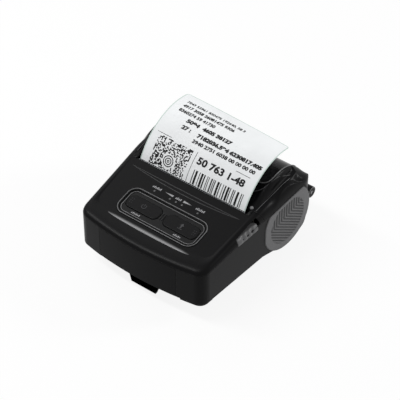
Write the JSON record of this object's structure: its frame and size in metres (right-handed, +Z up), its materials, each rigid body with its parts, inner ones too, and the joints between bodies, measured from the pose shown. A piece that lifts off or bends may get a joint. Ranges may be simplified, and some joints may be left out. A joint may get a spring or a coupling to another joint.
{
  "type": "portable label printer",
  "caption": "Belt-worn thermal label printer with a flip-up lid over a paper roll, a platen and gear train, a control panel, a slide-out battery and a sprung belt clip.",
  "frame": {"origin": "under the middle of the object, at the height of the belt clip's lowest edge", "axes": "+X towards the lever side, +Y towards the hinge at the rear (the battery end faces -Y), +Z up"},
  "size_m": [0.1498, 0.1639, 0.1012],
  "materials": {
    "case_plastic": "fine-grained charcoal moulded plastic",
    "battery_plastic": "fine-grained charcoal moulded plastic",
    "bezel_plastic": "satin black moulded plastic",
    "button_plastic": "soft satin dark grey",
    "pad_rubber": "matt grey soft-touch rubber with raised ripples",
    "feet_rubber": "matt black rubber",
    "lever_plastic": "satin silver-grey",
    "window_plastic": "polished smoked transparent plastic",
    "lamp_plastic": "clear light pipes",
    "inner_plastic": "plain black moulded plastic",
    "gear_plastic": "natural acetal",
    "shaft_steel": "ground steel",
    "sheet_steel": "pressed zinc-coated sheet",
    "spring_steel": "spring steel",
    "motor_steel": "drawn steel can",
    "pinion_brass": "cut brass",
    "bushing_plastic": "self-lubricating plastic",
    "roller_rubber": "ground black rubber",
    "head_ceramic": "glazed alumina",
    "sink_aluminium": "extruded aluminium",
    "board_green": "green circuit board",
    "chip_black": "black epoxy packages",
    "socket_metal": "nickel-plated shell",
    "jack_plastic": "black moulded socket",
    "cell_wrap": "shrink-wrapped cells",
    "contact_metal": "plated contact springs",
    "label_paper": "bright white smooth thermal label",
    "core_board": "wound cardboard tube",
    "clip_plastic": "black nylon",
    "screw_steel": "blackened steel"
  },
  "bodies": {
    "housing": {"lower_housing": "case_plastic", "top_cover": "case_plastic", "control_bezel": "bezel_plastic", "light_pipes": "lamp_plastic", "key_board": "board_green", "key_switches": "chip_black", "main_board": "board_green", "board_parts": "chip_black", "charge_jack": "jack_plastic", "data_socket": "socket_metal", "port_hinge": "inner_plastic", "battery_bay": "inner_plastic", "battery_contacts": "contact_metal", "print_frame": "sheet_steel", "head_pivot": "shaft_steel", "head_spring": "spring_steel", "idler_axle": "shaft_steel", "drive_motor": "motor_steel", "latch_spring": "spring_steel", "label_web": "label_paper", "holder_rail": "sheet_steel", "roll_cradle": "inner_plastic", "paper_sensor": "chip_black", "tear_bar": "sheet_steel", "front_feet": "feet_rubber", "case_screws": "screw_steel", "side_pad_left": "pad_rubber", "side_pad_right": "pad_rubber", "clip_bracket": "clip_plastic", "clip_pin": "shaft_steel", "clip_spring": "spring_steel"},
    "lid": {"lid_cover": "case_plastic", "lid_window": "window_plastic", "lid_liner": "inner_plastic", "platen_bushings": "bushing_plastic", "hinge_pin": "shaft_steel", "printed_label": "label_paper"},
    "platen": {"platen_shaft": "shaft_steel", "platen_rubber": "roller_rubber", "platen_gear": "gear_plastic"},
    "idler": {"idler_gear": "gear_plastic"},
    "pinion": {"motor_pinion": "pinion_brass"},
    "roll": {"label_roll": "label_paper", "roll_core": "core_board"},
    "holder_left": {"roll_holder_left": "inner_plastic"},
    "holder_right": {"roll_holder_right": "inner_plastic"},
    "latch": {"open_lever": "lever_plastic", "latch_shaft": "shaft_steel", "latch_hook_left": "sheet_steel", "latch_hook_right": "sheet_steel"},
    "head": {"print_head": "head_ceramic", "head_sink": "sink_aluminium"},
    "power_key": {"power_button": "button_plastic"},
    "feed_key": {"feed_button": "button_plastic"},
    "battery": {"battery_face": "battery_plastic", "battery_case": "inner_plastic", "battery_cells": "cell_wrap"},
    "clip": {"belt_clip": "clip_plastic"},
    "flap": {"port_cover": "feet_rubber"}
  },
  "joints": [
    {"name": "lid_hinge", "type": "hinge", "parent": "housing", "child": "lid", "pos_m": [0, 0.07665, 0.041], "axis": [-1, 0, 0], "range_deg": [0, 90]},
    {"name": "platen_spin", "type": "hinge", "parent": "lid", "child": "platen", "pos_m": [0, -0.00261, 0.05759], "axis": [1, 0, 0], "continuous": true},
    {"name": "idler_spin", "type": "hinge", "parent": "housing", "child": "idler", "pos_m": [0, -0.00622, 0.04036], "axis": [1, 0, 0], "continuous": true},
    {"name": "pinion_spin", "type": "hinge", "parent": "housing", "child": "pinion", "pos_m": [0, -0.02144, 0.03482], "axis": [1, 0, 0], "continuous": true},
    {"name": "roll_spin", "type": "hinge", "parent": "housing", "child": "roll", "pos_m": [0, 0.03805, 0.052], "axis": [1, 0, 0], "continuous": true},
    {"name": "holder_left_slide", "type": "slide", "parent": "housing", "child": "holder_left", "axis": [-1, 0, 0], "range_m": [0, 0.006]},
    {"name": "holder_right_slide", "type": "slide", "parent": "housing", "child": "holder_right", "axis": [1, 0, 0], "range_m": [0, 0.006]},
    {"name": "latch_turn", "type": "hinge", "parent": "housing", "child": "latch", "pos_m": [0, -0.01845, 0.0505], "axis": [1, 0, 0], "range_deg": [0, 3], "stiffness_Nm_per_rad": 0.4, "springref_deg": -5.73},
    {"name": "head_float", "type": "hinge", "parent": "housing", "child": "head", "pos_m": [0, -0.0129, 0.04874], "axis": [1, 0, 0], "range_deg": [0, 2], "stiffness_Nm_per_rad": 2, "springref_deg": -2.86},
    {"name": "power_press", "type": "slide", "parent": "housing", "child": "power_key", "axis": [0, 0.1838, -0.983], "range_m": [0, 0.0008], "stiffness_N_per_m": 500, "springref_m": -0.001},
    {"name": "feed_press", "type": "slide", "parent": "housing", "child": "feed_key", "axis": [0, 0.1838, -0.983], "range_m": [0, 0.0008], "stiffness_N_per_m": 500, "springref_m": -0.001},
    {"name": "battery_slide", "type": "slide", "parent": "housing", "child": "battery", "axis": [0, -1, 0], "range_m": [0, 0.055]},
    {"name": "clip_hinge", "type": "hinge", "parent": "housing", "child": "clip", "pos_m": [0, -0.02995, 0.0139], "axis": [1, 0, 0], "range_deg": [0, 12], "stiffness_Nm_per_rad": 0.5, "springref_deg": -11.46},
    {"name": "flap_hinge", "type": "hinge", "parent": "housing", "child": "flap", "pos_m": [-0.06916, -0.04505, 0.032], "axis": [0, 0, 1], "range_deg": [0, 100]}
  ],
  "couplings": [
    {"joint": "idler_spin", "follows": "platen_spin", "ratio": -0.47059},
    {"joint": "pinion_spin", "follows": "platen_spin", "ratio": 1.3333},
    {"joint": "roll_spin", "follows": "platen_spin", "ratio": 0.18182},
    {"joint": "holder_right_slide", "follows": "holder_left_slide", "ratio": 1}
  ]
}
